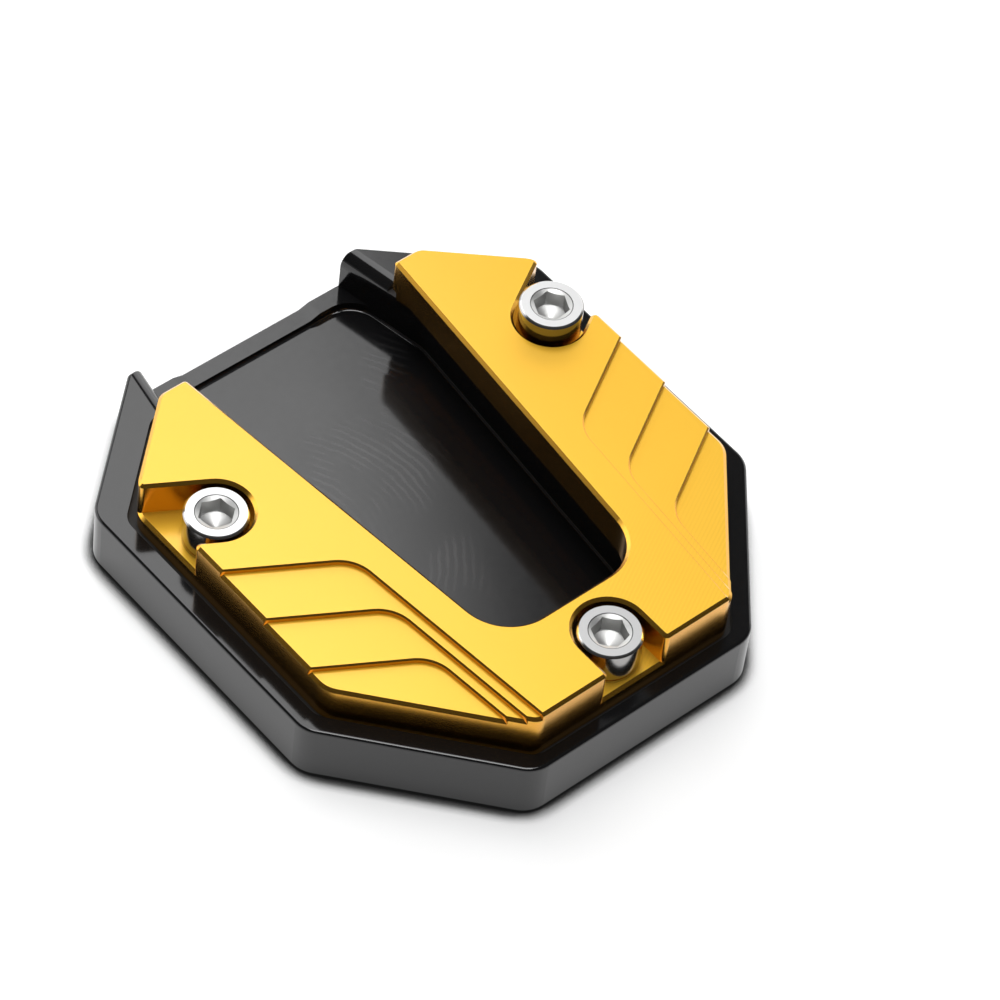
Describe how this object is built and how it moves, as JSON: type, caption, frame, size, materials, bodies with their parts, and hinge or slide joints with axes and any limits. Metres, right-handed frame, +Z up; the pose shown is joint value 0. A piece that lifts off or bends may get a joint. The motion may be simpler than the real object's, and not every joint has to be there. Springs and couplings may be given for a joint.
{
  "type": "kickstand foot enlarger",
  "caption": "Side-stand foot enlarger: octagonal base plate with a cavity for the stand's foot, closed by a U-shaped stepped clamp plate that socket head cap screws pull down.",
  "frame": {"origin": "middle of the bounding box of the base plate, on its underside", "axes": "+Z up, away from the ground; +Y towards the open end, where the stand's foot slides in; +X to the right when looking along +Y from above"},
  "size_m": [0.0866, 0.0944, 0.0216],
  "materials": {
    "base_anodised": "black anodised, smooth with faint milling swirls",
    "clamp_anodised": "gold anodised, fine milled",
    "screw_steel": "bright plated steel"
  },
  "bodies": {
    "root": {"base_plate": "base_anodised", "clamp_plate": "clamp_anodised", "screw_front": "screw_steel", "screw_left": "screw_steel", "screw_right": "screw_steel"}
  },
  "joints": []
}
